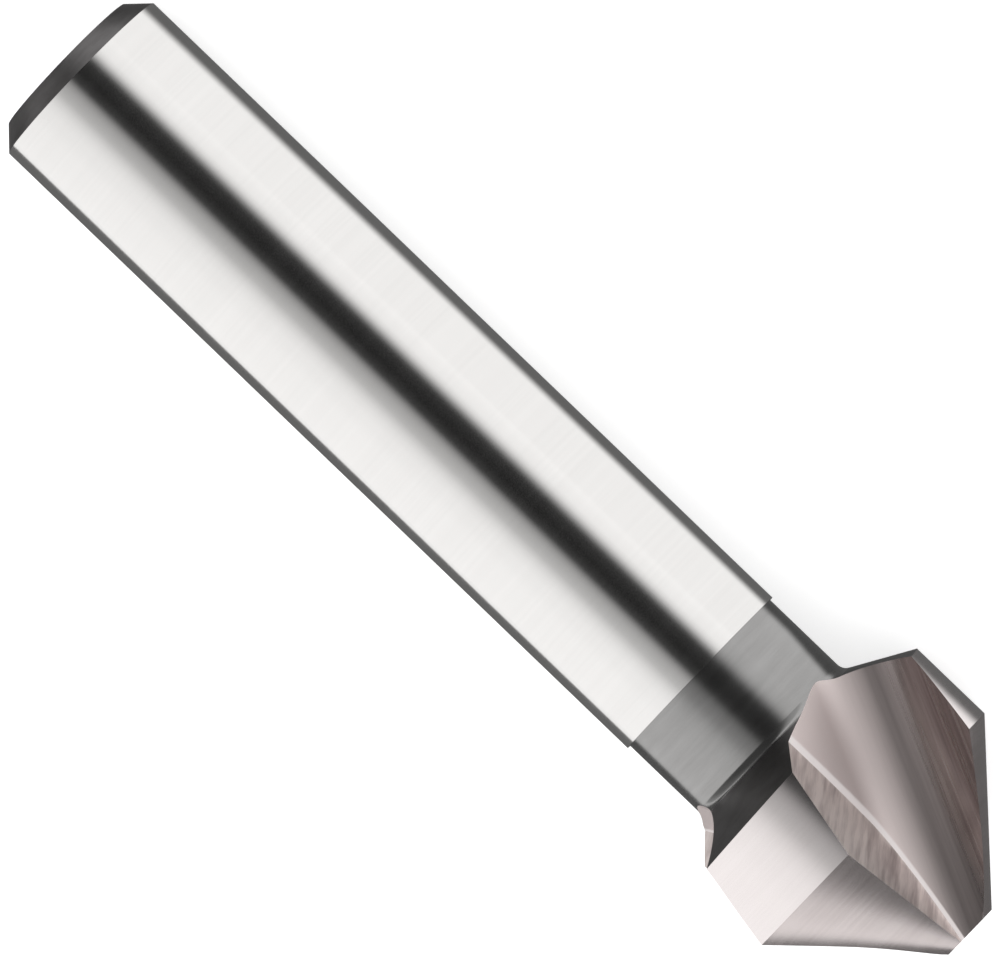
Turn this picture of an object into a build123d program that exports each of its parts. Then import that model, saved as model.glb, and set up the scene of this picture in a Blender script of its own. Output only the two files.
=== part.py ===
from build123d import *
import math
import os

# Three-flute 90 degree countersink with a plain cylindrical shank, ground from one bar.
# The tool is modelled upright on +Z, shank end at zero and point at the top,
# and is then laid on its side the way it comes to rest on a bench.

# Sizes along the axis and diameters, in millimetres
overall_length = 60.0
head_diameter = 16.5
shank_diameter = 10.0
point_diameter = 3.0
point_angle = 90.0
shank_chamfer = 1.0
neck_diameter = 9.68
neck_start = 42.1
back_cone_start = 46.9
head_start = 48.9
neck_fillet = 0.6

# Teeth: each land falls away behind its cutting edge, because it is ground off centre
tooth_count = 3
first_edge_bearing = 60.0
relief_eccentricity = 0.45
relief_lead_angle = 45.0
sector_lead_angle = 17.0
sector_radius = 12.0
blank_allowance = 0.25
overrun = 1.0

# Flutes: each is ground by one rounded wheel, swung about a radius of the tool
wheel_radius = 76.0
wheel_corner_radius = 3.2
wheel_rim_height = 12.0
rake_flank_angle = 35.8
heel_flank_angle = 36.5
wheel_swing = 24.8
wheel_floor_radius = 1.12
wheel_side_offset = 1.06
wheel_low_station = 57.94

# Heel wall: the flat facet that ends each land, through a point on the heel edge
heel_edge_radius = 7.84
heel_edge_bearing = 4.79
heel_edge_station = 51.73
heel_wall_bearing = -74.1
heel_wall_lean = 11.5

# Rest: the head lies on two lands with a flute between them, and the shank on its end
rest_roll = 148.647
rest_pitch = 2.223

shank_radius = shank_diameter / 2
neck_radius = neck_diameter / 2
head_radius = head_diameter / 2
point_radius = point_diameter / 2
cone_slope = math.tan(math.radians(point_angle / 2))
rim_station = overall_length - (head_radius - point_radius) / cone_slope
tooth_pitch = 360.0 / tooth_count


def make_blank():
    """Turned blank: shank with end chamfer, neck, back cone, and an oversize head."""
    blank_radius = head_radius + blank_allowance
    back_slope = (head_radius - neck_radius) / (head_start - back_cone_start)
    blank_start = head_start + blank_allowance / back_slope
    outline = [
        (0, 0),
        (shank_radius - shank_chamfer, 0),
        (shank_radius, shank_chamfer),
        (shank_radius, neck_start),
        (neck_radius, neck_start),
        (neck_radius, back_cone_start),
        (blank_radius, blank_start),
        (blank_radius, overall_length),
        (0, overall_length),
    ]
    section = make_face(Polyline(*outline, close=True))
    foot = section.vertices().sort_by_distance((neck_radius, back_cone_start, 0))[0]
    section = fillet(foot, neck_fillet)
    return revolve(Plane.XZ * section, Axis.Z)


def relief_disc(offset, radius, station):
    """Round section of the land envelope, shifted off the tool axis."""
    return Pos(offset, 0, station) * Circle(radius)


def make_land_envelope(edge_bearing):
    """Shifted cylinder, then a slanting cone that comes back to the axis at the point."""
    lead = math.radians(relief_lead_angle)
    envelope_radius = head_radius - relief_eccentricity * math.cos(lead)
    low = back_cone_start - overrun
    high = overall_length + overrun
    share = (overall_length - high) / (overall_length - rim_station)
    high_radius = point_radius + (envelope_radius - point_radius) * share
    foot = relief_disc(relief_eccentricity, envelope_radius, low)
    rim = relief_disc(relief_eccentricity, envelope_radius, rim_station)
    top = relief_disc(relief_eccentricity * share, high_radius, high)
    envelope = extrude(foot, rim_station - low) + loft([rim, top], ruled=True)
    return Rot(0, 0, edge_bearing + relief_lead_angle) * envelope


def make_sector(edge_bearing):
    """Wedge of the head, from just ahead of a cutting edge to the next tooth."""
    low = back_cone_start - overrun
    height = overall_length + overrun - low
    section = make_face(
        [
            Line((0, 0), (sector_radius, 0)),
            CenterArc((0, 0), sector_radius, 0, -tooth_pitch),
            Line((0, 0), PolarLine((0, 0), sector_radius, -tooth_pitch) @ 1),
        ]
    )
    wedge = extrude(section, height)
    return Rot(0, 0, edge_bearing + sector_lead_angle) * Pos(0, 0, low) * wedge


def make_relief(edge_bearing):
    """Metal taken off behind one cutting edge, down to its lands."""
    return make_sector(edge_bearing) - make_land_envelope(edge_bearing)


def make_wheel():
    """Grinding wheel of one flute: a rake flank, a round corner and a heel flank."""
    rake = math.radians(rake_flank_angle)
    heel = math.radians(heel_flank_angle)
    corner = wheel_corner_radius
    rake_tangent = (wheel_radius - corner * (1 - math.sin(rake)), corner * math.cos(rake))
    heel_tangent = (wheel_radius - corner * (1 - math.sin(heel)), -corner * math.cos(heel))
    rake_top = (rake_tangent[0] - wheel_rim_height, rake_tangent[1] + wheel_rim_height * math.tan(rake))
    heel_top = (heel_tangent[0] - wheel_rim_height, heel_tangent[1] - wheel_rim_height * math.tan(heel))
    section = make_face(
        [
            ThreePointArc(heel_tangent, (wheel_radius, 0), rake_tangent),
            Line(rake_tangent, rake_top),
            Line(rake_top, heel_top),
            Line(heel_top, heel_tangent),
        ]
    )
    wheel = revolve(section, Axis.Y)
    swing = math.radians(wheel_swing)
    setting = Plane(
        origin=(wheel_floor_radius + wheel_radius, -wheel_side_offset, wheel_low_station),
        x_dir=(-1, 0, 0),
        z_dir=(0, math.sin(swing), math.cos(swing)),
    )
    return setting * wheel


def make_flute():
    """Space that one wheel clears, stopped on the tooth ahead by the flat heel wall."""
    bearing = math.radians(heel_edge_bearing)
    facing = math.radians(heel_wall_bearing)
    lean = math.radians(heel_wall_lean)
    heel_wall = Plane(
        origin=(
            heel_edge_radius * math.cos(bearing),
            heel_edge_radius * math.sin(bearing),
            heel_edge_station,
        ),
        z_dir=(
            math.cos(facing) * math.cos(lean),
            math.sin(facing) * math.cos(lean),
            math.sin(lean),
        ),
    )
    return split(make_wheel(), bisect_by=heel_wall, keep=Keep.TOP)


def make_countersink():
    """The whole tool, upright."""
    tool = make_blank()
    flute = make_flute()
    for tooth in range(tooth_count):
        bearing = first_edge_bearing + tooth * tooth_pitch
        tool -= make_relief(bearing)
    for tooth in range(tooth_count):
        tool -= Rot(0, 0, tooth * tooth_pitch) * flute
    return tool


def lay_down(tool):
    """Turn the tool to its resting side and set it on the floor at z = 0."""
    lying = Rot(0, 90 - rest_pitch, 0) * Rot(0, 0, rest_roll) * tool
    box = lying.bounding_box()
    return Pos(-box.center().X, -box.center().Y, -box.min.Z) * lying


countersink_bit = lay_down(make_countersink())
os.makedirs("parts", exist_ok=True)
export_step(countersink_bit, "parts/countersink_bit.step")
print("volume", round(countersink_bit.volume, 2), "mm3, solids", len(countersink_bit.solids()))
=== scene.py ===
import math

import bmesh
import bpy
from mathutils import Matrix, Vector


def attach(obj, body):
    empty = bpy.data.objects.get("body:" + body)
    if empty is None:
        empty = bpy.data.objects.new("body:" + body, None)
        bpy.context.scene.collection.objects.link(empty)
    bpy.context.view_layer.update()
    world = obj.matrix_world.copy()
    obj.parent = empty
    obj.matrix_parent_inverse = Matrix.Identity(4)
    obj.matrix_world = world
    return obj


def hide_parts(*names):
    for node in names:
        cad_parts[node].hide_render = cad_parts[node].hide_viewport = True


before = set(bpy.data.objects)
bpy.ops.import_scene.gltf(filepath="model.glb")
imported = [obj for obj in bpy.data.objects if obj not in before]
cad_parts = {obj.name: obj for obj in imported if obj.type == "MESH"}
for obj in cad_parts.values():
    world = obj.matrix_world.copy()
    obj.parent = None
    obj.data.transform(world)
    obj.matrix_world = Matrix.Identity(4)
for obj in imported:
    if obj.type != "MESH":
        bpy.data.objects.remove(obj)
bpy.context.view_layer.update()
scene = bpy.context.scene
mm = 0.001
print("frame loaded")

# sizes in millimetres and degrees, the tool standing on its shank end with the point up
toolSizes = {
    "length": 60.0,
    "shankRadius": 5.0,
    "shankChamfer": 1.0,
    "neckRadius": 4.84,
    "neckStart": 42.1,
    "backConeStart": 46.9,
    "backConeSlope": 1.7,
    "neckFillet": 0.6,
    "headRadius": 8.25,
    "pointRadius": 1.5,
    "teeth": 3,
    "firstEdge": 60.0,  # bearing of a cutting edge at the rim
    "reliefOffset": 0.45,  # the lands are ground this far off centre
    "reliefLead": 45.0,
    "sectorLead": 17.0,  # each tooth starts this far ahead of its edge, inside the flute
    "columns": 240,
}

# how finely each stretch of the blank is divided along the tool
blankRows = {
    "core": 2.0,  # radius of the first ring on the shank end
    "chamfer": (0.5, 1.0),
    "shank": 20,
    "neck": 8,
    "fillet": 8,
    "back": 8,
    "land": 14,
    "cone": 24,
    "flat": (0.66, 0.33),  # rings on the point, as shares of its radius
}

# the wheel that grinds a flute, and the flat wall left at the heel of each land
fluteSizes = {
    "wheelRadius": 76.0,
    "cornerRadius": 3.2,
    "rimHeight": 12.0,
    "rakeFlank": 35.8,
    "heelFlank": 36.5,
    "swing": 24.8,
    "floorRadius": 1.12,
    "sideOffset": 1.06,
    "lowStation": 57.94,
    "reach": 36.0,  # half of the wheel's arc that is built
    "arcSteps": 150,
    "cornerSteps": 28,
    "flankSteps": 12,
    "heelPoint": (7.8126, 0.6547, 51.73),
    "heelBearing": -74.1,
    "heelLean": 11.5,
    "heelMarks": -16.0,  # slant of the milling marks across the heel wall
    "markShift": (40.0, 30.0),  # from one tooth's marks to the next, so that no two teeth look alike
}

# how near a face must be to a surface to count as lying on it
nearness = {
    "end": 1e-4,
    "fillet": 1e-3,
    "heelWall": 2e-3,
    "land": 4e-3,
    "wheel": 0.012,
    "facing": 0.98,  # cosine between a face and the surface it is taken for
    "normal": 0.3,  # cosine below which a corner keeps its face's own normal
    "farFromHeel": 9.0,  # what every face outside the flutes is given as its gap to the heel wall
}

# how the tool lies: two lands and the edge of the shank end touch the surface
restPose = {
    "roll": 148.647,
    "pitch": 2.223,
}

rimStation = toolSizes["length"] - (toolSizes["headRadius"] - toolSizes["pointRadius"])
envelopeRadius = toolSizes["headRadius"] - toolSizes["reliefOffset"] * math.cos(
    math.radians(toolSizes["reliefLead"]))
toothPitch = 360.0 / toolSizes["teeth"]


def polar(radius, bearing, station):
    angle = math.radians(bearing)
    return Vector((radius * math.cos(angle), radius * math.sin(angle), station))


def coneCircle(station):
    # offset and radius of the ground cone at a station: central at the point, off centre at the rim
    share = (toolSizes["length"] - station) / (toolSizes["length"] - rimStation)
    radius = toolSizes["pointRadius"] + (envelopeRadius - toolSizes["pointRadius"]) * share
    return toolSizes["reliefOffset"] * share, radius


def landRadius(bearing, edge, station):
    # distance from the tool axis to the land of the tooth whose cutting edge is at edge
    offset, radius = toolSizes["reliefOffset"], envelopeRadius
    if station > rimStation:
        offset, radius = coneCircle(station)
    turn = math.radians(bearing - edge - toolSizes["reliefLead"])
    return offset * math.cos(turn) + math.sqrt(radius ** 2 - (offset * math.sin(turn)) ** 2)


def toothEdge(bearing):
    # cutting edge of the tooth that owns a bearing
    first = toolSizes["firstEdge"] + toolSizes["sectorLead"]
    behind = (first - bearing) % 360.0
    return toolSizes["firstEdge"] - toothPitch * int(behind // toothPitch)


def spread(low, high, steps):
    return [low + (high - low) * i / steps for i in range(steps + 1)]


def filletRows():
    # small concave radius where the neck meets the back of the head
    sizes = toolSizes
    lean = math.atan2(1.0, sizes["backConeSlope"])  # angle of the back cone from the radial direction
    turn = math.pi / 2 - lean
    back = sizes["neckFillet"] * math.tan(turn / 2)
    centre = (sizes["neckRadius"] + sizes["neckFillet"], sizes["backConeStart"] - back)
    rows = []
    for angle in spread(0.0, turn, blankRows["fillet"]):
        rows.append((centre[0] - sizes["neckFillet"] * math.cos(angle),
                     centre[1] + sizes["neckFillet"] * math.sin(angle)))
    return rows


def blankColumn(bearing, edge):
    # points of one column of the turned and relieved blank, from the shank end to the point
    sizes = toolSizes
    shank, chamfer = sizes["shankRadius"], sizes["shankChamfer"]
    steps = blankRows
    rows = [(steps["core"], 0.0), (shank - chamfer, 0.0)]
    rows += [(shank - chamfer * (1 - t), chamfer * t) for t in steps["chamfer"]]
    rows += [(shank, z) for z in spread(chamfer, sizes["neckStart"], steps["shank"])[1:]]
    fillet = filletRows()
    rows += [(sizes["neckRadius"], z) for z in spread(sizes["neckStart"], fillet[0][1], steps["neck"])[:-1]]
    rows += fillet
    land = landRadius(bearing, edge, 0.0)
    footRadius, footStation = fillet[-1]
    backStation = footStation + (land - footRadius) / sizes["backConeSlope"]
    rows += [(footRadius + (land - footRadius) * t, footStation + (backStation - footStation) * t)
             for t in spread(0.0, 1.0, steps["back"])[1:]]
    rows += [(land, z) for z in spread(backStation, rimStation, steps["land"])[1:]]
    rows += [(landRadius(bearing, edge, z), z) for z in spread(rimStation, sizes["length"], steps["cone"])[1:]]
    rows += [(landRadius(bearing, edge, sizes["length"]) * t, sizes["length"]) for t in steps["flat"]]
    return [polar(radius, bearing, station) for radius, station in rows]


def makeBlank():
    # one column per bearing; the two columns at a tooth's start differ, and leave a step inside the flute
    sizes = toolSizes
    perTooth = sizes["columns"] // sizes["teeth"]
    columns = []
    for tooth in range(sizes["teeth"]):
        edge = sizes["firstEdge"] + tooth * toothPitch
        start = edge + sizes["sectorLead"] - toothPitch
        columns += [blankColumn(bearing, edge) for bearing in spread(start, start + toothPitch, perTooth)]
    mesh = bmesh.new()
    grid = [[mesh.verts.new(point) for point in column] for column in columns]
    foot = mesh.verts.new((0, 0, 0))
    tip = mesh.verts.new((0, 0, sizes["length"]))
    for left, right in zip(grid, grid[1:] + grid[:1]):
        mesh.faces.new((foot, right[0], left[0]))
        mesh.faces.new((tip, left[-1], right[-1]))
        for row in range(len(left) - 1):
            mesh.faces.new((left[row], right[row], right[row + 1], left[row + 1]))
    return meshObject("blank", mesh)


def meshObject(name, mesh):
    # welds the mesh, turns its faces outwards and makes it an object
    bmesh.ops.remove_doubles(mesh, verts=mesh.verts, dist=1e-6)
    bmesh.ops.recalc_face_normals(mesh, faces=mesh.faces)
    data = bpy.data.meshes.new(name)
    mesh.to_mesh(data)
    mesh.free()
    made = bpy.data.objects.new(name, data)
    scene.collection.objects.link(made)
    return made


swing = math.radians(fluteSizes["swing"])
wheelAxis = Vector((0, -math.cos(swing), math.sin(swing)))
wheelCentre = Vector((fluteSizes["floorRadius"] + fluteSizes["wheelRadius"],
                      -fluteSizes["sideOffset"], fluteSizes["lowStation"]))
wheelDown = Vector((-1, 0, 0))
wheelAlong = wheelDown.cross(wheelAxis)
heelNormal = polar(math.cos(math.radians(fluteSizes["heelLean"])), fluteSizes["heelBearing"],
                   math.sin(math.radians(fluteSizes["heelLean"])))
heelPoint = Vector(fluteSizes["heelPoint"])


def wheelProfile():
    # (distance from the wheel's axis, distance along it), from the heel flank round the corner to the rake flank
    sizes = fluteSizes
    corner = sizes["cornerRadius"]
    heel, rake = math.radians(sizes["heelFlank"]), math.radians(sizes["rakeFlank"])
    points = []
    for angle in spread(math.pi / 2 - heel, rake - math.pi / 2, sizes["cornerSteps"]):
        points.append((sizes["wheelRadius"] - corner + corner * math.cos(angle), -corner * math.sin(angle)))
    for flank, end, side in ((heel, 0, -1), (rake, -1, 1)):
        start = points[end]
        line = [(start[0] - h, start[1] + side * h * math.tan(flank))
                for h in spread(0.0, sizes["rimHeight"], sizes["flankSteps"])[1:]]
        points = (line[::-1] + points) if side < 0 else (points + line)
    return points


def makeFluteCutter():
    # the part of the wheel near the tool, cut off by the heel wall
    sizes = fluteSizes
    profile = wheelProfile()
    mesh = bmesh.new()
    rings = []
    for angle in spread(-math.radians(sizes["reach"]), math.radians(sizes["reach"]), sizes["arcSteps"]):
        spoke = wheelDown * math.cos(angle) + wheelAlong * math.sin(angle)
        rings.append([mesh.verts.new(wheelCentre + spoke * radius + wheelAxis * side) for radius, side in profile])
    for before, after in zip(rings, rings[1:]):
        for i in range(len(profile)):
            j = (i + 1) % len(profile)
            mesh.faces.new((before[i], before[j], after[j], after[i]))
    mesh.faces.new(rings[0])
    mesh.faces.new(rings[-1][::-1])
    bmesh.ops.recalc_face_normals(mesh, faces=mesh.faces)
    cut = bmesh.ops.bisect_plane(mesh, geom=mesh.verts[:] + mesh.edges[:] + mesh.faces[:], plane_co=heelPoint,
                                 plane_no=heelNormal, clear_inner=True)
    rim = [edge for edge in cut["geom_cut"] if isinstance(edge, bmesh.types.BMEdge)]
    bmesh.ops.holes_fill(mesh, edges=rim)
    return meshObject("fluteCutter", mesh)


def addSocket(group, name, kind, way, value=None):
    made = group.interface.new_socket(name, in_out=way, socket_type="NodeSocket" + kind)
    if value is not None:
        made.default_value = value


def fluteTree():
    # cuts one flute per tooth from the blank
    tree = bpy.data.node_groups.new("groundFlutes", "GeometryNodeTree")
    for name, kind, way in (("Geometry", "Geometry", "INPUT"), ("Cutter", "Object", "INPUT"),
                            ("Flutes", "Int", "INPUT"), ("Finish", "Material", "INPUT"),
                            ("Geometry", "Geometry", "OUTPUT")):
        addSocket(tree, name, kind, way)
    nodes, link = tree.nodes, tree.links.new
    entry = nodes.new("NodeGroupInput")
    leave = nodes.new("NodeGroupOutput")
    cutter = nodes.new("GeometryNodeObjectInfo")
    points = nodes.new("GeometryNodePoints")
    index = nodes.new("GeometryNodeInputIndex")
    step = nodes.new("ShaderNodeMath")
    step.operation = "DIVIDE"
    step.inputs[0].default_value = 2 * math.pi
    turn = nodes.new("ShaderNodeMath")
    turn.operation = "MULTIPLY"
    spin = nodes.new("ShaderNodeCombineXYZ")
    place = nodes.new("GeometryNodeInstanceOnPoints")
    realize = nodes.new("GeometryNodeRealizeInstances")
    cut = nodes.new("GeometryNodeMeshBoolean")
    cut.operation = "DIFFERENCE"
    cut.solver = "EXACT"
    whole = nodes.new("GeometryNodeRealizeInstances")
    paint = nodes.new("GeometryNodeSetMaterial")
    link(entry.outputs["Cutter"], cutter.inputs["Object"])
    link(entry.outputs["Flutes"], points.inputs["Count"])
    link(entry.outputs["Flutes"], step.inputs[1])
    link(index.outputs[0], turn.inputs[0])
    link(step.outputs[0], turn.inputs[1])
    link(turn.outputs[0], spin.inputs["Z"])
    link(points.outputs[0], place.inputs["Points"])
    link(cutter.outputs["Geometry"], place.inputs["Instance"])
    link(spin.outputs[0], place.inputs["Rotation"])
    link(place.outputs[0], realize.inputs[0])
    link(entry.outputs["Geometry"], cut.inputs["Mesh 1"])
    link(realize.outputs[0], cut.inputs["Mesh 2"])
    link(cut.outputs["Mesh"], whole.inputs[0])
    link(whole.outputs[0], paint.inputs["Geometry"])
    link(entry.outputs["Finish"], paint.inputs["Material"])
    link(paint.outputs[0], leave.inputs[0])
    return tree


def setInput(modifier, name, value):
    # fills in a modifier's input by the name that its group gives it
    for item in modifier.node_group.interface.items_tree:
        if item.item_type == "SOCKET" and item.in_out == "INPUT" and item.name == name:
            modifier[item.identifier] = value


def cutFlutes(blank, cutter, finish):
    # applies the flutes to the blank, and gives back the finished mesh
    cutting = blank.modifiers.new("flutes", "NODES")
    cutting.node_group = fluteTree()
    setInput(cutting, "Cutter", cutter)
    setInput(cutting, "Flutes", toolSizes["teeth"])
    setInput(cutting, "Finish", finish)
    shown = blank.evaluated_get(bpy.context.evaluated_depsgraph_get())
    data = bpy.data.meshes.new_from_object(shown)
    blank.modifiers.clear()
    return data


def turned(point, degrees):
    return Matrix.Rotation(math.radians(degrees), 3, "Z") @ point


def faceKind(centre, facing):
    # which surface of the tool a face lies on, and its tooth
    radius = math.hypot(centre.x, centre.y)
    bearing = math.degrees(math.atan2(centre.y, centre.x))
    station = centre.z
    sizes = toolSizes
    near = nearness
    if station < near["end"]:
        return "end", 0
    if station < sizes["shankChamfer"]:
        return "chamfer", 0
    if station < sizes["neckStart"] - near["end"]:
        return "shank", 0
    if station < sizes["neckStart"] + near["end"]:
        return "step", 0
    fillet = filletRows()
    for tooth in range(sizes["teeth"]):
        gap = (turned(centre, -tooth * toothPitch) - heelPoint).dot(heelNormal)
        if abs(gap) < near["heelWall"] and facing.dot(surfaceNormal("heelWall", tooth, centre)) > near["facing"]:
            return "heelWall", tooth
    for tooth in range(sizes["teeth"]):
        local = turned(centre, -tooth * toothPitch) - wheelCentre
        side = local.dot(wheelAxis)
        reach = (local - wheelAxis * side).length
        if onWheel(reach, side) and facing.dot(surfaceNormal("flute", tooth, centre)) > near["facing"]:
            return "flute", tooth
    if station < fillet[0][1]:
        return "neck", 0
    if station < fillet[-1][1] and radius < fillet[-1][0] + near["fillet"]:
        return "fillet", 0
    edge = toothEdge(bearing)
    if station > sizes["length"] - near["end"]:
        return "flat", 0
    if station > rimStation:
        return "cone", edge
    if abs(radius - landRadius(bearing, edge, 0.0)) < near["land"]:
        return "land", edge
    return "back", edge


def onWheel(reach, side):
    # whether a point lies on the wheel's grinding face, within a few microns
    sizes = fluteSizes
    corner = sizes["cornerRadius"]
    inward = sizes["wheelRadius"] - corner - reach
    angle = math.atan2(abs(side), -inward)
    flank = math.radians(sizes["rakeFlank"] if side > 0 else sizes["heelFlank"])
    if angle < math.pi / 2 - flank:
        off = math.hypot(inward, side) - corner
    else:
        off = abs(side) * math.cos(flank) - inward * math.sin(flank) - corner
    return abs(off) < nearness["wheel"]


def surfaceNormal(kind, part, point):
    # true normal of a surface at a point; part is the tooth of a flute or wall, or the edge bearing of a land
    radial = Vector((point.x, point.y, 0)).normalized()
    sizes = toolSizes
    if kind == "end":
        return Vector((0, 0, -1))
    if kind in ("flat", "step"):
        return Vector((0, 0, 1))
    if kind == "chamfer":
        return (radial - Vector((0, 0, 1))).normalized()
    if kind in ("shank", "neck"):
        return radial
    if kind == "fillet":
        fillet = filletRows()
        centre = radial * (sizes["neckRadius"] + sizes["neckFillet"]) + Vector((0, 0, fillet[0][1]))
        return (centre - point).normalized()
    if kind == "back":
        return (radial - Vector((0, 0, sizes["backConeSlope"]))).normalized()
    if kind in ("land", "cone"):
        offset = coneCircle(point.z)[0] if kind == "cone" else sizes["reliefOffset"]
        ahead = polar(1.0, part + sizes["reliefLead"], 0.0)
        outward = (Vector((point.x, point.y, 0)) - ahead * offset).normalized()
        if kind == "land":
            return outward
        height = sizes["length"] - rimStation
        perRise = (envelopeRadius - sizes["pointRadius"]) / height
        return (outward + Vector((0, 0, perRise + sizes["reliefOffset"] / height * outward.dot(ahead)))).normalized()
    if kind == "heelWall":
        return turned(heelNormal, part * toothPitch)
    local = turned(point, -part * toothPitch) - wheelCentre
    side = local.dot(wheelAxis)
    spoke = local - wheelAxis * side
    inward = fluteSizes["wheelRadius"] - fluteSizes["cornerRadius"] - spoke.length
    flank = math.radians(fluteSizes["rakeFlank"] if side > 0 else fluteSizes["heelFlank"])
    angle = min(math.atan2(abs(side), -inward), math.pi / 2 - flank)
    normal = -math.cos(angle) * spoke.normalized() - math.copysign(math.sin(angle), side) * wheelAxis
    return turned(normal, part * toothPitch)


def grindMap(kind, part, point):
    # place on a flute along and across the wheel's marks, or on a heel wall across and along the cutter's
    local = turned(point, -part * toothPitch)
    shiftFirst, shiftSecond = (shift * part for shift in fluteSizes["markShift"])
    if kind == "flute":
        local = local - wheelCentre
        side = local.dot(wheelAxis)
        spoke = local - wheelAxis * side
        along = math.atan2(spoke.dot(wheelAlong), spoke.dot(wheelDown)) * fluteSizes["wheelRadius"]
        inward = fluteSizes["wheelRadius"] - spoke.length
        across = math.copysign(math.hypot(side, inward), side)
        return along + shiftFirst, across + shiftSecond
    across = heelNormal.cross(Vector((0, 0, 1))).normalized()
    up = across.cross(heelNormal)
    slant = math.radians(fluteSizes["heelMarks"])
    rise = up * math.cos(slant) - across * math.sin(slant)
    run = across * math.cos(slant) + up * math.sin(slant)
    return local.dot(rise) + shiftFirst, local.dot(run) + shiftSecond


print("cutting the flutes")
blank = makeBlank()
cutter = makeFluteCutter()
plainSteel = bpy.data.materials.new("plainSteel")
toolMesh = cutFlutes(blank, cutter, plainSteel)
for helper in (blank, cutter):
    bpy.data.objects.remove(helper)

# turn the tool to its resting side and set it on the surface, centred on its footprint
layDown = (Matrix.Rotation(math.radians(90.0 - restPose["pitch"]), 4, "Y")
           @ Matrix.Rotation(math.radians(restPose["roll"]), 4, "Z"))
lying = [layDown @ vertex.co for vertex in toolMesh.vertices]
low = Vector([min(point[i] for point in lying) for i in range(3)])
high = Vector([max(point[i] for point in lying) for i in range(3)])
toolPlace = Vector((-(low.x + high.x) / 2, -(low.y + high.y) / 2, -low.z))
toolToRow = Matrix.Scale(mm, 4) @ Matrix.Translation(toolPlace) @ layDown

finishOf = {
    "end": "blackOxide", "chamfer": "blackOxide", "shank": "polishedShank", "step": "neckOxide",
    "neck": "neckOxide", "fillet": "neckOxide", "back": "blackOxide", "land": "groundLand",
    "cone": "groundCone", "flat": "groundCone", "flute": "groundFlute", "heelWall": "milledHeel",
}
finishNames = ["polishedShank", "neckOxide", "blackOxide", "groundLand", "groundCone", "groundFlute", "milledHeel"]


def finishMesh(data, materials):
    # gives each face its finish, its marks' map and the true normals of its surface
    data.materials.clear()
    for name in finishNames:
        data.materials.append(materials[name])
    data.uv_layers.new(name="grindMap")
    for name in ("heelGap", "wheelSide"):
        data.attributes.new(name, "FLOAT", "CORNER")
    # fetched once all three are made, since each new layer moves the others
    marks = data.uv_layers["grindMap"].data
    gaps = data.attributes["heelGap"].data
    sides = data.attributes["wheelSide"].data
    normals = [None] * len(data.loops)
    counts = {}
    for face in data.polygons:
        kind, part = faceKind(face.center, face.normal)
        counts[kind] = counts.get(kind, 0) + 1
        face.material_index = finishNames.index(finishOf[kind])
        face.use_smooth = True
        for loop in face.loop_indices:
            point = data.vertices[data.loops[loop].vertex_index].co
            normal = surfaceNormal(kind, part, point)
            trusted = normal.dot(face.normal) > nearness["normal"]
            normals[loop] = normal if trusted else face.normal.copy()
            gaps[loop].value = nearness["farFromHeel"]
            if kind in ("flute", "heelWall"):
                marks[loop].uv = grindMap(kind, part, point)
            if kind == "flute":
                local = turned(point, -part * toothPitch)
                gaps[loop].value = (local - heelPoint).dot(heelNormal)
                sides[loop].value = (local - wheelCentre).dot(wheelAxis)
    data.transform(toolToRow)
    data.normals_split_custom_set([layDown.to_3x3() @ normal for normal in normals])
    data.update()
    print("faces by surface", counts)


def groupMath(nodes, link, operation, *values):
    # a math node fed by sockets or plain numbers
    node = nodes.new("ShaderNodeMath")
    node.operation = operation
    for slot, value in enumerate(values):
        if isinstance(value, bpy.types.NodeSocket):
            link(value, node.inputs[slot])
        else:
            node.inputs[slot].default_value = value
    return node.outputs[0]


def grindGroup():
    # marks of a grinding wheel: fine lines and broader bands, from a vector and how far they are stretched
    group = bpy.data.node_groups.new("grindMarks", "ShaderNodeTree")
    addSocket(group, "Vector", "Vector", "INPUT")
    addSocket(group, "Along", "Vector", "INPUT", (0.2, 0.2, 6.0))
    addSocket(group, "Band Scale", "Float", "INPUT", 0.25)
    addSocket(group, "Band Share", "Float", "INPUT", 0.5)
    addSocket(group, "Height", "Float", "OUTPUT")
    addSocket(group, "Tone", "Float", "OUTPUT")
    nodes, link = group.nodes, group.links.new
    entry = nodes.new("NodeGroupInput")
    leave = nodes.new("NodeGroupOutput")
    stretch = nodes.new("ShaderNodeVectorMath")
    stretch.operation = "MULTIPLY"
    link(entry.outputs["Vector"], stretch.inputs[0])
    link(entry.outputs["Along"], stretch.inputs[1])
    fine = nodes.new("ShaderNodeTexNoise")
    fine.inputs["Scale"].default_value = 1.0
    fine.inputs["Detail"].default_value = 3.0
    fine.inputs["Roughness"].default_value = 0.6
    link(stretch.outputs[0], fine.inputs["Vector"])
    wide = nodes.new("ShaderNodeTexNoise")
    wide.inputs["Detail"].default_value = 2.0
    link(stretch.outputs[0], wide.inputs["Vector"])
    link(entry.outputs["Band Scale"], wide.inputs["Scale"])
    blend = nodes.new("ShaderNodeMix")
    blend.data_type = "FLOAT"
    link(entry.outputs["Band Share"], blend.inputs["Factor"])
    link(fine.outputs["Fac"], blend.inputs["A"])
    link(wide.outputs["Fac"], blend.inputs["B"])
    link(fine.outputs["Fac"], leave.inputs["Height"])
    link(blend.outputs["Result"], leave.inputs["Tone"])
    return group


def mixed(nodes, link, factor, first, second):
    # a colour between two, each a socket or three numbers
    node = nodes.new("ShaderNodeMix")
    node.data_type = "RGBA"
    link(factor, node.inputs["Factor"])
    for slot, value in (("A", first), ("B", second)):
        if isinstance(value, bpy.types.NodeSocket):
            link(value, node.inputs[slot])
        else:
            node.inputs[slot].default_value = (*value, 1)
    return node.outputs["Result"]


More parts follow.
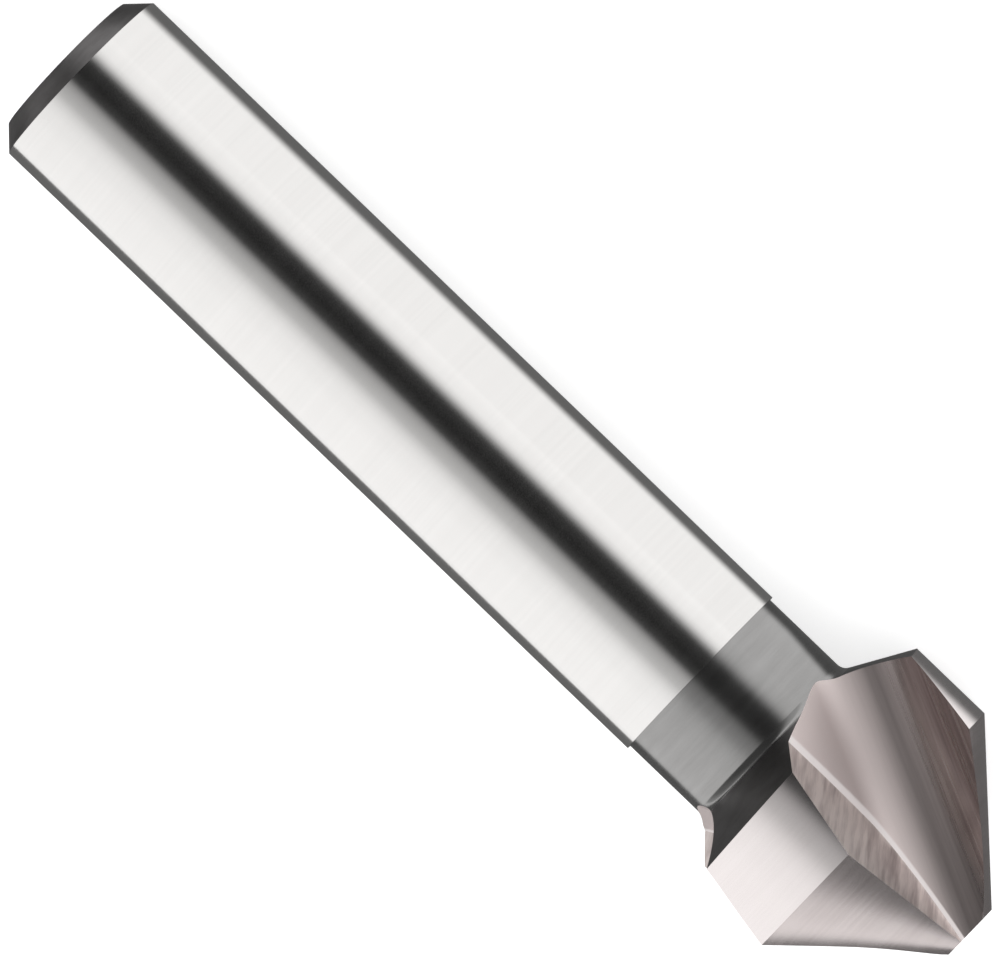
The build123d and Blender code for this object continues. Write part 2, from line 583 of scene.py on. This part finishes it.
def ranged(nodes, link, value, span, result=(0.0, 1.0), smooth=False):
    # a value carried from one span to another
    node = nodes.new("ShaderNodeMapRange")
    node.interpolation_type = "SMOOTHSTEP" if smooth else "LINEAR"
    link(value, node.inputs["Value"])
    for name, number in zip(("From Min", "From Max", "To Min", "To Max"), (*span, *result)):
        if isinstance(number, bpy.types.NodeSocket):
            link(number, node.inputs[name])
        else:
            node.inputs[name].default_value = number
    return node.outputs["Result"]


def faceValue(nodes, name):
    node = nodes.new("ShaderNodeAttribute")
    node.attribute_name = name
    return node.outputs["Fac"]


grindMarks = grindGroup()


def steelMaterial(name, look):
    # a metal finish: its colour, and grinding marks that show in tone, roughness and height
    material = bpy.data.materials.new(name)
    material.use_nodes = True
    nodes, link = material.node_tree.nodes, material.node_tree.links.new
    shader = nodes["Principled BSDF"]
    shader.inputs["Metallic"].default_value = look["metallic"]
    marks = nodes.new("ShaderNodeGroup")
    marks.node_tree = grindMarks
    marks.inputs["Along"].default_value = look["marks"]
    marks.inputs["Band Scale"].default_value = look["bandScale"]
    marks.inputs["Band Share"].default_value = look["bandShare"]
    if look["map"] == "tool":
        source = nodes.new("ShaderNodeTexCoord")
        place = nodes.new("ShaderNodeMapping")
        place.vector_type = "TEXTURE"
        place.inputs["Location"].default_value = toolToRow.translation
        place.inputs["Rotation"].default_value = layDown.to_euler()
        place.inputs["Scale"].default_value = (mm, mm, mm)
        link(source.outputs["Object"], place.inputs["Vector"])
        link(place.outputs[0], marks.inputs["Vector"])
    else:
        source = nodes.new("ShaderNodeUVMap")
        source.uv_map = "grindMap"
        link(source.outputs[0], marks.inputs["Vector"])
    tone = marks.outputs["Tone"]
    contrast = ranged(nodes, link, tone, look["toneSpan"])
    colour = mixed(nodes, link, contrast, look["dark"], look["light"])
    rough = ranged(nodes, link, tone, (0.0, 1.0), look["rough"])
    if "paintedLightHeelSide" in look:
        # the flute's floor on the side of the heel wall is duller, and painted lighter and less metallic as painted
        # light; a painted highlight runs as a bright seam beside the wall
        across = ranged(nodes, link, faceValue(nodes, "wheelSide"), look["paintedLightHeelSideSpan"], smooth=True)
        dull = ranged(nodes, link, tone, (0.0, 1.0), look["paintedLightHeelSideRough"])
        colour = mixed(nodes, link, across, colour, look["paintedLightHeelSide"])
        rough = ranged(nodes, link, across, (0.0, 1.0), (rough, dull))
        # the bright seam beside the heel wall is a painted highlight
        paintedSeamHighlight = ranged(nodes, link, faceValue(nodes, "heelGap"), look["paintedSeamHighlightSpan"], smooth=True)
        colour = mixed(nodes, link, paintedSeamHighlight, colour, look["paintedSeamHighlight"])
        metal = ranged(nodes, link, across, (0.0, 1.0), (look["metallic"], look["paintedLightHeelSideMetallic"]))
        link(ranged(nodes, link, paintedSeamHighlight, (0.0, 1.0), (metal, look["paintedSeamHighlightMetallic"])), shader.inputs["Metallic"])
    link(colour, shader.inputs["Base Color"])
    link(rough, shader.inputs["Roughness"])
    bump = nodes.new("ShaderNodeBump")
    bump.inputs["Strength"].default_value = look["bump"]
    bump.inputs["Distance"].default_value = look["depth"] * mm
    link(marks.outputs["Height"], bump.inputs["Height"])
    link(bump.outputs["Normal"], shader.inputs["Normal"])
    return material


# marks are scales in millimetres along the map's axes; the tones of bare steel run from dark to light
finishes = {
    "polishedShank": {"metallic": 1.0, "dark": (0.88, 0.865, 0.85), "light": (0.94, 0.925, 0.91), "map": "tool",
                      "marks": (0.05, 0.05, 5.0), "bandScale": 0.12, "bandShare": 0.6, "toneSpan": (0.3, 0.7),
                      "rough": (0.10, 0.16), "bump": 0.12, "depth": 0.002},
    "neckOxide": {"metallic": 1.0, "dark": (0.35, 0.345, 0.34), "light": (0.43, 0.425, 0.42), "map": "tool",
                  "marks": (0.3, 0.3, 3.0), "bandScale": 0.3, "bandShare": 0.5, "toneSpan": (0.3, 0.7),
                  "rough": (0.16, 0.22), "bump": 0.2, "depth": 0.004},
    "blackOxide": {"metallic": 1.0, "dark": (0.20, 0.19, 0.19), "light": (0.31, 0.30, 0.30), "map": "tool",
                   "marks": (0.8, 0.8, 3.0), "bandScale": 0.3, "bandShare": 0.5, "toneSpan": (0.3, 0.7),
                   "rough": (0.28, 0.38), "bump": 0.2, "depth": 0.004},
    "groundLand": {"metallic": 1.0, "dark": (0.90, 0.84, 0.83), "light": (0.96, 0.90, 0.89), "map": "tool",
                   "marks": (0.15, 0.15, 6.0), "bandScale": 0.2, "bandShare": 0.5, "toneSpan": (0.3, 0.7),
                   "rough": (0.14, 0.20), "bump": 0.12, "depth": 0.003},
    "groundCone": {"metallic": 1.0, "dark": (0.76, 0.68, 0.67), "light": (0.88, 0.80, 0.79), "map": "tool",
                   "marks": (0.15, 0.15, 6.0), "bandScale": 0.2, "bandShare": 0.5, "toneSpan": (0.3, 0.7),
                   "rough": (0.20, 0.28), "bump": 0.15, "depth": 0.003},
    # the flute's heel side is painted light, and the seam beside its heel wall a painted highlight
    "groundFlute": {"metallic": 1.0, "dark": (0.26, 0.22, 0.215), "light": (0.44, 0.385, 0.375), "map": "grindMap",
                    "marks": (0.12, 5.0, 1.0), "bandScale": 0.25, "bandShare": 0.6, "toneSpan": (0.35, 0.65),
                    "rough": (0.22, 0.32), "paintedLightHeelSide": (0.95, 0.84, 0.82), "paintedLightHeelSideSpan": (1.5, -2.6),
                    "paintedLightHeelSideRough": (0.38, 0.50), "paintedLightHeelSideMetallic": 0.8, "paintedSeamHighlight": (1.0, 0.93, 0.92),
                    "paintedSeamHighlightSpan": (0.22, 0.14), "paintedSeamHighlightMetallic": 0.3, "bump": 0.25, "depth": 0.004},
    "milledHeel": {"metallic": 0.75, "dark": (0.44, 0.37, 0.36), "light": (0.98, 0.89, 0.85), "map": "grindMap",
                   "marks": (2.2, 0.20, 1.0), "bandScale": 0.35, "bandShare": 0.5, "toneSpan": (0.36, 0.58),
                   "rough": (0.30, 0.44), "bump": 0.6, "depth": 0.015},
}
materials = {name: steelMaterial(name, look) for name, look in finishes.items()}
finishMesh(toolMesh, materials)
countersink = bpy.data.objects.new("countersink", toolMesh)
scene.collection.objects.link(countersink)
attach(countersink, "root")
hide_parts("countersink_bit")
print("tool built")

# the camera, given from the tool: bearing about its axis, lift towards the point, and where it aims
cameraView = {
    "bearing": -2.76,
    "lift": 1.75,
    "distance": 800.0,
    "target": 30.0,
    "turn": 43.85,
    "aimRight": -17.8,
    "aimUp": 15.7,
    "focal": 16713.0,
    "frameWidth": 1000.0,
    "sensorWidth": 36.0,
    "clipStart": 0.01,
    "clipEnd": 20.0,
}


def placeCamera(view):
    # stands off from the tool along its bearing and lift, rolls by turn and aims a little to one side
    bearing, lift, turn = (math.radians(view[name]) for name in ("bearing", "lift", "turn"))
    back = Vector((math.cos(lift) * math.cos(bearing), math.cos(lift) * math.sin(bearing), math.sin(lift)))
    right = (Vector((0, 0, 1)) - back * back.z).normalized()
    up = back.cross(right)
    stand = Vector((0, 0, view["target"])) + back * view["distance"]
    across = right * math.cos(turn) + up * math.sin(turn)
    above = up * math.cos(turn) - right * math.sin(turn)
    frameTurn = Matrix((across, above, back)).transposed()
    yaw = math.atan2(view["aimRight"], view["focal"])
    tilt = math.atan2(view["aimUp"], view["focal"])
    swingBack = (Matrix.Rotation(yaw, 3, "Y") @ Matrix.Rotation(-tilt, 3, "X")).transposed()
    data = bpy.data.cameras.new("studioCamera")
    data.sensor_width = view["sensorWidth"]
    data.lens = view["focal"] / view["frameWidth"] * data.sensor_width
    data.clip_start = view["clipStart"]
    data.clip_end = view["clipEnd"]
    camera = bpy.data.objects.new("studioCamera", data)
    scene.collection.objects.link(camera)
    turnMatrix = layDown.to_3x3() @ frameTurn @ swingBack
    camera.matrix_world = Matrix.Translation(toolToRow @ stand) @ turnMatrix.to_4x4()
    scene.camera = camera


placeCamera(cameraView)

# the studio, as the bare metal mirrors it: brightness by bearing round the tool's axis, in three belts of tilt,
# with a plain pole round the point's direction
studio = {
    "backward": ((-180, 0.85), (-135, 0.68), (-114, 0.40), (-95, 0.22), (-50, 0.10), (-20, 0.08), (0, 0.05),
                 (20, 0.06), (45, 0.60), (180, 0.85)),
    "ring": ((-180, 1.0), (-75, 0.98), (-50, 0.93), (-42, 0.87), (-35, 0.77), (-30, 0.64), (-25, 0.51), (-18, 0.44),
             (-12, 0.35), (-9, 0.25), (-6, 0.12), (-3, 0.03), (8, 0.01), (20, 0.02), (24, 0.05), (28, 0.24),
             (32, 0.55), (36, 0.80), (42, 0.94), (60, 1.0), (180, 1.0)),
    "tipward": ((-180, 0.75), (-60, 0.72), (-45, 0.20), (-30, 0.12), (-16, 0.16), (-5, 0.25), (5, 0.36), (15, 0.46),
                (25, 0.52), (110, 0.58), (180, 0.75)),
    "backwardEnd": -0.16,  # sines of the tilt where one belt gives way to the next
    "ringStart": -0.08,
    "ringEnd": 0.06,
    "tipwardStart": 0.20,
    "poleStart": 0.86,
    "poleEnd": 0.98,
    "pole": 0.14,
    "fill": 0.75,
    "floorSize": 1.6,
    "floorColour": (0.80, 0.80, 0.80),
    "floorGlow": 0.62,  # lifts the lit floor to white for the camera, and leaves its shadow
    "floorMirrored": 0.95,  # the floor in the metal, far from the tool, and in the painted shadow strip beside it
    # a painted shadow beside the tool that only the metal sees: its tone, its edges and how soft they are
    "mirroredShadowTone": 0.13,
    "mirroredShadowEdges": (-0.066, 0.0066),  # its two edges beside the shank, in metres
    "mirroredShadowAtHead": (-0.050, 0.0092),
    "mirroredShadowChanges": (0.014, 0.018),  # where along the tool one width gives way to the other
    "mirroredShadowSoft": 0.0012,
    "lampPower": 3.2,
    "lampSize": 0.9,
    "lampPlace": (0.05, 0.35, 0.9),
}


def turnShare(bearing):
    return (bearing + 180.0) / 360.0


def bearingRamp(nodes, link, factor, stops):
    # a grey ramp over a full turn, from bearings in degrees
    ramp = nodes.new("ShaderNodeValToRGB")
    ramp.color_ramp.interpolation = "EASE"
    line = ramp.color_ramp.elements
    while len(line) > 1:
        line.remove(line[-1])
    for number, (bearing, value) in enumerate(stops):
        stop = line[0] if number == 0 else line.new(turnShare(bearing))
        stop.position = turnShare(bearing)
        stop.color = (value, value, value, 1)
    link(factor, ramp.inputs["Fac"])
    return ramp.outputs["Color"]


def shaderMix(nodes, link, factor, first, second):
    node = nodes.new("ShaderNodeMixShader")
    for slot, source in enumerate((factor, first, second)):
        link(source, node.inputs[slot])
    return node.outputs[0]


def plainBackground(nodes, strength):
    node = nodes.new("ShaderNodeBackground")
    node.inputs["Color"].default_value = (1, 1, 1, 1)
    node.inputs["Strength"].default_value = strength
    return node.outputs[0]


def makeWorld(look):
    # white to the camera, soft fill to matt surfaces, and the belts of the studio to the metal
    world = bpy.data.worlds.new("studioWorld")
    world.use_nodes = True
    nodes, link = world.node_tree.nodes, world.node_tree.links.new
    nodes.clear()
    out = nodes.new("ShaderNodeOutputWorld")
    source = nodes.new("ShaderNodeTexCoord")
    place = nodes.new("ShaderNodeMapping")
    place.vector_type = "TEXTURE"
    place.inputs["Rotation"].default_value = layDown.to_euler()
    link(source.outputs["Generated"], place.inputs["Vector"])
    split = nodes.new("ShaderNodeSeparateXYZ")
    link(place.outputs[0], split.inputs[0])
    away = groupMath(nodes, link, "MULTIPLY", split.outputs["Y"], -1.0)
    bearing = groupMath(nodes, link, "ARCTAN2", away, split.outputs["X"])
    share = groupMath(nodes, link, "MULTIPLY_ADD", bearing, 0.5 / math.pi, 0.5)
    room = bearingRamp(nodes, link, share, look["backward"])
    for start, end, belt in (("backwardEnd", "ringStart", "ring"), ("ringEnd", "tipwardStart", "tipward")):
        tilt = ranged(nodes, link, split.outputs["Z"], (look[start], look[end]), smooth=True)
        room = mixed(nodes, link, tilt, room, bearingRamp(nodes, link, share, look[belt]))
    tilt = ranged(nodes, link, split.outputs["Z"], (look["poleStart"], look["poleEnd"]), smooth=True)
    room = mixed(nodes, link, tilt, room, (look["pole"],) * 3)
    path = nodes.new("ShaderNodeLightPath")
    mirrored = nodes.new("ShaderNodeBackground")
    link(room, mirrored.inputs["Color"])
    seen = groupMath(nodes, link, "MAXIMUM", path.outputs["Is Camera Ray"], path.outputs["Is Transmission Ray"])
    inner = shaderMix(nodes, link, path.outputs["Is Glossy Ray"], plainBackground(nodes, look["fill"]),
                      mirrored.outputs[0])
    outer = shaderMix(nodes, link, seen, inner, plainBackground(nodes, 1.0))
    link(outer, out.inputs["Surface"])
    scene.world = world


def makeFloor(look):
    # a plain pale floor: lit for its shadow, lifted to white for the camera, and to the metal a plain tone with a
    # painted shadow strip beside the tool
    mesh = bmesh.new()
    bmesh.ops.create_grid(mesh, x_segments=1, y_segments=1, size=look["floorSize"] / 2)
    data = bpy.data.meshes.new("floor")
    mesh.to_mesh(data)
    mesh.free()
    floor = bpy.data.objects.new("floor", data)
    scene.collection.objects.link(floor)
    material = bpy.data.materials.new("paleFloor")
    material.use_nodes = True
    nodes, link = material.node_tree.nodes, material.node_tree.links.new
    nodes.clear()
    out = nodes.new("ShaderNodeOutputMaterial")
    matt = nodes.new("ShaderNodeBsdfDiffuse")
    matt.inputs["Color"].default_value = (*look["floorColour"], 1)
    path = nodes.new("ShaderNodeLightPath")
    seen = groupMath(nodes, link, "MAXIMUM", path.outputs["Is Camera Ray"], path.outputs["Is Transmission Ray"])
    glow = nodes.new("ShaderNodeEmission")
    link(groupMath(nodes, link, "MULTIPLY", seen, look["floorGlow"]), glow.inputs["Strength"])
    lit = nodes.new("ShaderNodeAddShader")
    link(matt.outputs[0], lit.inputs[0])
    link(glow.outputs[0], lit.inputs[1])
    # a painted shadow: a dark strip on the floor beside the tool, seen only in the metal, draws the tool's outline
    # as its mirrored shadow would
    source = nodes.new("ShaderNodeTexCoord")
    split = nodes.new("ShaderNodeSeparateXYZ")
    link(source.outputs["Object"], split.inputs[0])
    mirroredShadowMask = 1.0
    for number, side in ((0, 1), (1, -1)):
        edge = ranged(nodes, link, split.outputs["X"], look["mirroredShadowChanges"],
                      (look["mirroredShadowEdges"][number], look["mirroredShadowAtHead"][number]))
        past = groupMath(nodes, link, "SUBTRACT", split.outputs["Y"], edge)
        within = ranged(nodes, link, past, (-side * look["mirroredShadowSoft"], side * look["mirroredShadowSoft"]), smooth=True)
        mirroredShadowMask = groupMath(nodes, link, "MULTIPLY", mirroredShadowMask, within)
    mirrored = nodes.new("ShaderNodeEmission")
    tone = ranged(nodes, link, mirroredShadowMask, (0.0, 1.0), (look["floorMirrored"], look["mirroredShadowTone"]))
    link(tone, mirrored.inputs["Strength"])
    both = shaderMix(nodes, link, path.outputs["Is Glossy Ray"], lit.outputs[0], mirrored.outputs[0])
    link(both, out.inputs["Surface"])
    data.materials.append(material)


def makeLamp(look):
    # one soft lamp for the floor's shadow, which the metal doesn't mirror
    data = bpy.data.lights.new("softbox", "AREA")
    data.shape = "SQUARE"
    data.size = look["lampSize"]
    data.energy = look["lampPower"]
    lamp = bpy.data.objects.new("softbox", data)
    scene.collection.objects.link(lamp)
    lamp.location = look["lampPlace"]
    lamp.rotation_euler = (-Vector(look["lampPlace"])).to_track_quat("-Z", "Y").to_euler()
    lamp.visible_glossy = False
    lamp.visible_camera = False


makeWorld(studio)
makeFloor(studio)
makeLamp(studio)
scene.view_settings.view_transform = "Standard"
print("studio built")
